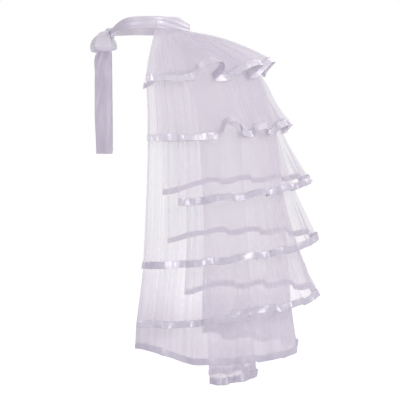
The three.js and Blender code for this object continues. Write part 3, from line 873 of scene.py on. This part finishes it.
def hem_ribbon(tier, grid):
    hem, start = grid[-1], grid[-HEM_ROWS]
    normal = grid_normals(grid[-HEM_ROWS - 1:])[-2:].mean(axis=0)
    normal /= np.linalg.norm(normal, axis=-1, keepdims=True)
    rows = RIBBON_ROWS[::-1, None, None] / RIBBON_WIDTH
    across = 2 * rows - 1
    lengths = np.concatenate([[0], np.cumsum(np.linalg.norm(np.diff(hem, axis=0), axis=-1))])
    seed = tier["seed"] + PUCKER_SEED
    pucker = wander(lengths / PUCKER_STEP, seed)
    pucker = pucker + FINE_PUCKER_SHARE * wander(lengths / FINE_PUCKER_STEP, seed + 1)
    tilt = (PUCKER_TILT * pucker)[None, :, None]
    middle = hem + (start - hem) * rows + normal * (tilt * across + np.abs(tilt))
    crown = RIBBON_CROWN * (1 - across**2)
    outer = middle + normal * (RIBBON_GAP + RIBBON_THICK + crown)
    inner = middle + normal * (RIBBON_GAP + crown)
    uv = np.stack(np.meshgrid(lengths, RIBBON_ROWS[::-1]), axis=-1)
    # The upper tiers' ribbons take the lighter copy of the satin: painted light.
    satin = lit_ribbon_satin if tier["layer"] >= UPPER_FROM_LAYER else ribbon_satin
    ribbon = thin_shell("ribbon_" + tier["name"], outer, inner, uv, satin, ribbon_inside)
    return ribbon, float(lengths[-1])


print("ribbon builder ready")

# %% [markdown]
# Every piece rides on the skirt's one body and stands for one CAD node, which it hides.

# %% Make all tiers
def dress(piece, cad_node):
    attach(piece, "root")
    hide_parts(cad_node)


for tier in TIERS:
    grid, uv, edges = tier_grid(tier)
    shade = UPPER_SHADE_SHARE if tier["layer"] >= UPPER_FROM_LAYER else SHADE_SHARE
    material = net_material("net_" + tier["name"], tier["density"], edges, shade)
    sheet = open_sheet("net_" + tier["name"], grid, uv, material)
    ribbon, hem_length = hem_ribbon(tier, grid)
    dress(sheet, tier["name"])
    dress(ribbon, "hem_ribbon_" + tier["name"])

# %% [markdown]
# The band is the sash itself, crushed to two thirds of its width where it goes round the waist, and
# a little more behind. Its folds run along it, bow up beside the knot and sink towards the back. The
# end of the stitched part shows as a small upright ridge at each side. It is a closed shell, because
# its inner face shows above the opening.

# %% Waistband
SASH_WIDTH = 42
WAIST_HALF_WIDTH = 125
WAIST_HALF_DEPTH = 97
BAND_HEIGHT = 28
BAND_WALL = 2.0
KNOT_HALF_WIDTH = 12
BAND_DIP = 15
DIP_FROM = 125
DIP_TO = 45
BAND_AT_KNOT = 0.36
BAND_FOLDS = np.array([
    (0.5, 0.0), (0.42, 0.9), (0.3, 1.6), (0.2, 1.3), (0.08, 0.4), (0.0, 0.7), (-0.12, 1.9), (-0.22, 1.8),
    (-0.34, 0.7), (-0.43, 0.8), (-0.5, 0.3),
])
BAND_SWAY, BAND_SWAYS = 0.5, 3
BAND_CREASE = 0.9
BAND_EDGE_POWER = 8
BAND_SEED = 91
FOLD_BOW = 0.28
FOLD_FALL = 0.4
BOW_AT = 58
BOW_REACH = 34
SEAM_Y = 22
SEAM_REACH = 2.6
SEAM_PROUD = 1.8
SEAM_FROM, SEAM_TO = -0.2, 0.1
BAND_BEHIND = 0.62
BEHIND_FROM = 0.7
BAND_ROWS = 48
BAND_COLUMNS = 420
CREASE_SLANT = 0.012
CREASES_ACROSS = 4.5
CREASE_DRIFT, CREASE_DRIFT_STEP = 0.3, 70
CREASE_LEVEL, CREASE_SWING = 0.55, 0.45
CREASE_STEP, CREASE_SPREAD = 48, 30


def sash_creases(share, along, seed):
    """Slanting creases along the sash: share is the place across it and along is in mm from the knot."""
    drift = CREASE_DRIFT * wander(along / CREASE_DRIFT_STEP, seed) + CREASE_SLANT * along
    change = wander(along / CREASE_STEP + CREASE_SPREAD * share, seed + 2)
    depth = CREASE_LEVEL + CREASE_SWING * change
    return depth * creased(share * CREASES_ACROSS + drift, seed + 3)


def band_relief(share, from_knot, angle, y):
    """How far the band's outer face stands out: its folds, its creases and the ridge of the seam."""
    bowed = share - FOLD_BOW * np.exp(-(((from_knot - BOW_AT) / BOW_REACH) ** 2))
    bowed = bowed + FOLD_FALL * smoothstep(y, SEAM_Y, WAIST_HALF_DEPTH)
    main = np.interp(bowed, *BAND_FOLDS[::-1].T)
    sway = 1 + BAND_SWAY * np.sin(BAND_SWAYS * angle)
    edge = 1 - (2 * np.abs(share)) ** BAND_EDGE_POWER
    creases = sash_creases(bowed, from_knot, BAND_SEED)
    seam = np.exp(-(((y - SEAM_Y) / SEAM_REACH) ** 2)) * smoothstep(-share, SEAM_FROM, SEAM_TO)
    return main * sway + BAND_CREASE * edge * creases + SEAM_PROUD * seam


def band_grids():
    open_angle = math.asin(KNOT_HALF_WIDTH / WAIST_HALF_WIDTH)
    angle = np.linspace(-math.pi / 2 + open_angle, 1.5 * math.pi - open_angle, BAND_COLUMNS)
    share = np.linspace(0.5, -0.5, BAND_ROWS)[:, None]
    x, y = WAIST_HALF_WIDTH * np.cos(angle), WAIST_HALF_DEPTH * np.sin(angle)
    out = np.stack([np.cos(angle) / WAIST_HALF_WIDTH, np.sin(angle) / WAIST_HALF_DEPTH, 0 * angle],
                   axis=-1)
    out /= np.linalg.norm(out, axis=-1, keepdims=True)
    in_front = (angle < 0) | (angle > math.pi)
    to_knot = np.where(in_front, 1 - smoothstep(np.abs(x), DIP_TO, DIP_FROM), 0)
    behind = smoothstep(np.sin(angle), BEHIND_FROM, 1.0)
    height = BAND_HEIGHT * mixed(1, BAND_AT_KNOT, to_knot) * mixed(1, BAND_BEHIND, behind)
    along = np.concatenate([[0], np.cumsum(np.hypot(np.diff(x), np.diff(y)))])
    from_knot = np.minimum(along, along[-1] - along)
    proud = band_relief(share, from_knot, angle, y)
    sink = BAND_HEIGHT / 2 * (1 - BAND_BEHIND) * behind
    rise = (share * height - BAND_DIP * to_knot - sink)[..., None] * np.array([0, 0, 1.0])
    round_line = np.stack([x, y, 0 * x], axis=-1)[None]
    outer = round_line + out[None] * proud[..., None] + rise
    inner = round_line - out[None] * BAND_WALL + rise
    uv = np.stack(np.meshgrid(along, (0.5 - share[:, 0]) * SASH_WIDTH), axis=-1)
    return outer, inner, uv, along[-1]


band_outer, band_inner, band_uv, band_length = band_grids()
# The band gets a lighter copy of the satin: painted light.
waistband = thin_shell("sash_waistband", band_outer, band_inner, band_uv, band_lit_satin, sash_inside)
dress(waistband, "waistband")
print("waistband", round(band_length), "mm round")

# %% [markdown]
# The knot is a short turn of the sash round itself. A ring of cloth is drawn tight there, so its
# folds run over it from top to bottom.

# %% Knot
KNOT_HALF_HEIGHT = 13
KNOT_CENTRE = np.array([0, -WAIST_HALF_DEPTH - 2, -18.0])
KNOT_RINGS = np.array([
    (13, 6, 6), (12.2, 8, 7.5), (10, 10, 9.5), (4, 12, 12), (-4, 12, 12), (-10, 9.5, 10.5), (-13, 5.5, 7),
])
KNOT_ROWS = 40
KNOT_SIDES = 96
KNOT_FOLDS = 16
KNOT_FOLD_DEPTH = 0.7
KNOT_FOLD_SLANT = 0.02
KNOT_SEED = 71
KNOT_CLOTH_ROUND, KNOT_CLOTH_DOWN = 70, 40


def knot_grid():
    """Rings of points from the knot's top to its foot, each end drawn together in one point."""
    up = np.linspace(KNOT_HALF_HEIGHT, -KNOT_HALF_HEIGHT, KNOT_ROWS)[:, None]
    heights, half_widths, half_depths = KNOT_RINGS[::-1].T
    angle = np.linspace(0, 2 * math.pi, KNOT_SIDES + 1)[None, :]
    turns = angle / (2 * math.pi) * KNOT_FOLDS + KNOT_FOLD_SLANT * up
    folds = KNOT_FOLD_DEPTH * creased(turns, KNOT_SEED)
    folds[:, -1] = folds[:, 0]
    x = (np.interp(up, heights, half_widths) + folds) * np.cos(angle)
    y = (np.interp(up, heights, half_depths) + folds) * np.sin(angle)
    rings = np.stack([x, y, up + 0 * x], axis=-1) + KNOT_CENTRE
    top = np.repeat(rings[:1].mean(axis=1, keepdims=True), KNOT_SIDES + 1, axis=1)
    foot = np.repeat(rings[-1:].mean(axis=1, keepdims=True), KNOT_SIDES + 1, axis=1)
    return np.concatenate([top, rings, foot])


knot_points = knot_grid()
knot_uv = np.stack(np.meshgrid(
    np.linspace(0, KNOT_CLOTH_ROUND, KNOT_SIDES + 1),
    np.linspace(0, KNOT_CLOTH_DOWN, KNOT_ROWS + 2),
), axis=-1)
# The knot has the band's lighter copy of the satin: painted light.
knot = open_sheet("sash_knot", knot_points, knot_uv[..., ::-1], band_lit_satin)
dress(knot, "bow_knot")
print("knot", knot_points.shape)

# %% [markdown]
# The bow has two loops that droop beside the knot, and two ends that hang straight down. All four
# are strips of the sash. A loop is a strip that goes out, down and back, pleated tight at the knot
# and open at its fold. The route and widths are the CAD model's, with a smooth curve through them.

# %% Loops of the bow
BOW_Y = -WAIST_HALF_DEPTH - 4
SASH_WALL = 1.2
LOOP_ROUTE = np.array([
    (12.3, -15, 13, -3.4), (22, -18, 22, -10), (33, -28, 31, -11), (42, -42, 39, -10),
    (45.5, -53, 43, -9), (41, -60, 43, -5), (35, -57, 43, 0), (29, -47, 38, 2), (20, -33, 28, 0),
    (11.8, -25, 15, -3),
])
LOOP_CROWN = 3
LOOP_NARROW = 14
LOOP_WIDE = 40
LOOP_TIGHT, LOOP_OPEN = 16, 42
LOOP_PLEATS = 7
LOOP_PLEAT_LEVEL = 0.2
LOOP_PLEAT_DEPTH = 0.6
LOOP_PLEAT_DRIFT, LOOP_PLEAT_STEP = 0.3, 25
RIGHT_LOOP_FORWARD = 22
LOOP_ROWS = 30
LOOP_COLUMNS = 120
ALONG_Y = np.array([0, 1.0, 0])


def bow_loop(name, cad_node, side, forward, seed):
    """side is 1 on the wearer's left and -1 on the right. forward pulls the open fold to the front."""
    steps = np.linalg.norm(np.diff(LOOP_ROUTE[:, :2], axis=0), axis=-1)
    places = np.concatenate([[0], np.cumsum(steps)])
    along = np.linspace(0, places[-1], LOOP_COLUMNS)
    x, z, across, shift = smooth_line(places, LOOP_ROUTE, along).T
    middle = np.stack([side * x, 0 * x, z], axis=-1)
    run = np.gradient(middle, axis=0)
    outwards = np.stack([-side * run[:, 2], 0 * run[:, 0], side * run[:, 0]], axis=-1)
    outwards /= np.linalg.norm(outwards, axis=-1, keepdims=True)
    share = np.linspace(-0.5, 0.5, LOOP_ROWS)[:, None]
    tight = 1 - smoothstep(across, LOOP_TIGHT, LOOP_OPEN)
    drift = LOOP_PLEAT_DRIFT * wander(along / LOOP_PLEAT_STEP, seed)
    pleats = (LOOP_PLEAT_LEVEL + tight) * creased(share * LOOP_PLEATS + drift, seed + 1)
    crown = LOOP_CROWN * (1 - 4 * share**2) + LOOP_PLEAT_DEPTH * pleats
    pulled = forward * smoothstep(across, LOOP_NARROW, LOOP_WIDE)
    y = BOW_Y + share * across + shift - pulled
    base = middle[None] + ALONG_Y * y[..., None]
    outer = base + outwards[None] * (SASH_WALL / 2 + crown)[..., None]
    inner = base + outwards[None] * (crown - SASH_WALL / 2)[..., None]
    uv = np.stack(np.meshgrid(along, share[:, 0] * SASH_WIDTH), axis=-1)
    if side < 0:
        outer, inner, uv = outer[::-1], inner[::-1], uv[::-1]
    # The loops get the lightest copy of the satin: painted light.
    loop = thin_shell(name, outer, inner, uv, bow_lit_satin, bow_lit_inside)
    dress(loop, cad_node)


bow_loop("sash_loop_left", "bow_loop_left", 1, 0, 31)
bow_loop("sash_loop_right", "bow_loop_right", -1, RIGHT_LOOP_FORWARD, 41)

# %% [markdown]
# An end is a strip of the sash that hangs from under the knot, where it is pleated tight. Each row of
# its table gives how far down it is as a share of the length, the width as a share of the sash's, and
# how far it stands forward and sways. One lengthwise fold grows out of the pleats.

# %% Ends of the sash
TIE_ROWS = np.array([
    (0, 0.36, 2, 0), (0.06, 0.6, 8, 2), (0.14, 0.94, 14, 3), (0.3, 1, 15, 1), (0.48, 1.02, 15.5, -2),
    (0.66, 1.03, 15.5, 0), (0.84, 0.99, 14.5, 2), (1, 0.95, 14, 1),
])
TIE_FOLDS = np.array([(-0.5, 0), (-0.15, 3.4), (0.14, 7.6), (0.5, 0.6)])
TIE_FOLD_START = 0.33
TIE_TIGHT = 70
TIE_PLEATS = 6
TIE_PLEAT_LEVEL = 0.35
TIE_PLEAT_DRIFT, TIE_PLEAT_STEP = 0.3, 60
TIE_RIPPLE, TIE_RIPPLE_STEP, TIE_RIPPLE_SPREAD = 0.9, 34, 6
KNOT_FOOT = KNOT_CENTRE[2] - KNOT_HALF_HEIGHT
KNOT_GAP = 0.4
TIE_COLUMNS = 28
TIE_STEPS = 150


def tie_end(name, cad_node, side, apart, length, seed):
    """side is 1 on the wearer's left and -1 on the right, and apart the end's distance from the middle."""
    down = np.linspace(0, length, TIE_STEPS)
    wide, forward, sway = smooth_line(TIE_ROWS[:, 0] * length, TIE_ROWS[:, 1:], down).T
    share = np.linspace(-0.5, 0.5, TIE_COLUMNS)[:, None]
    fold = np.interp(share, *TIE_FOLDS.T) * np.minimum(1, down / (TIE_FOLD_START * length))
    tight = 1 - smoothstep(down, 0, TIE_TIGHT)
    drift = TIE_PLEAT_DRIFT * wander(down / TIE_PLEAT_STEP, seed)
    pleats = (TIE_PLEAT_LEVEL + tight) * creased(share * TIE_PLEATS + drift, seed + 1)
    ripple = wander(down / TIE_RIPPLE_STEP + TIE_RIPPLE_SPREAD * share, seed + 2)
    out = apart + fold + pleats + TIE_RIPPLE * ripple * (1 - tight)
    y = BOW_Y - forward + share * wide * SASH_WIDTH
    z = KNOT_FOOT - KNOT_GAP - down + 0 * share
    outer = np.stack([side * (out + SASH_WALL) + sway, y, z], axis=-1)
    inner = np.stack([side * out + sway, y, z], axis=-1)
    uv = np.stack(np.meshgrid(down, share[:, 0] * SASH_WIDTH), axis=-1)
    if side < 0:
        outer, inner, uv = outer[::-1], inner[::-1], uv[::-1]
    tie = thin_shell(name, outer, inner, uv, sash_satin, sash_inside)
    dress(tie, cad_node)
    print(name, length, "mm long")


tie_end("sash_end_left", "tie_end_left", 1, 2.5, 282, 51)
tie_end("sash_end_right", "tie_end_right", -1, 4.5, 276, 61)

# %% [markdown]
# At the waistband the sash is crushed, so 28 mm of its 42 mm show.

print("sash built")

# %% [markdown]
# The floor is plain and pale, a little under the hem, as when the skirt is worn. It isn't part of
# the object. It glows a little so that it reads as the same white as the backdrop.

# %% Floor
FLOOR_HEIGHT = -1.03
FLOOR_HALF = 3.0
FLOOR_TINT = (0.76, 0.74, 0.79, 1.0)
FLOOR_SEEN_TINT = (0.5, 0.5, 0.5, 1.0)
FLOOR_GLOW = 0.68

floor_points = np.array([
    [(-FLOOR_HALF, -FLOOR_HALF, FLOOR_HEIGHT), (-FLOOR_HALF, FLOOR_HALF, FLOOR_HEIGHT)],
    [(FLOOR_HALF, -FLOOR_HALF, FLOOR_HEIGHT), (FLOOR_HALF, FLOOR_HALF, FLOOR_HEIGHT)],
]) / MM
floor_material = bpy.data.materials.new("pale_floor")
floor_material.use_nodes = True
tree = floor_material.node_tree
tree.nodes.clear()
matt = node(tree, "ShaderNodeBsdfDiffuse", None, {"Color": FLOOR_TINT})
seen = node(tree, "ShaderNodeBsdfDiffuse", None, {"Color": FLOOR_SEEN_TINT})
glow = node(tree, "ShaderNodeEmission", None, {"Color": WHITE, "Strength": FLOOR_GLOW})
seen_floor = node(tree, "ShaderNodeAddShader")
tree.links.new(seen.outputs["BSDF"], seen_floor.inputs[0])
tree.links.new(glow.outputs["Emission"], seen_floor.inputs[1])
floor_path = node(tree, "ShaderNodeLightPath")
floor_mix = node(tree, "ShaderNodeMixShader", None, None, {"Fac": floor_path.outputs["Is Camera Ray"]})
tree.links.new(matt.outputs["BSDF"], floor_mix.inputs[1])
tree.links.new(seen_floor.outputs["Shader"], floor_mix.inputs[2])
floor_out = node(tree, "ShaderNodeOutputMaterial")
tree.links.new(floor_mix.outputs["Shader"], floor_out.inputs["Surface"])
floor = open_sheet("floor", floor_points, np.zeros((2, 2, 2)), floor_material)
print("floor at", FLOOR_HEIGHT)
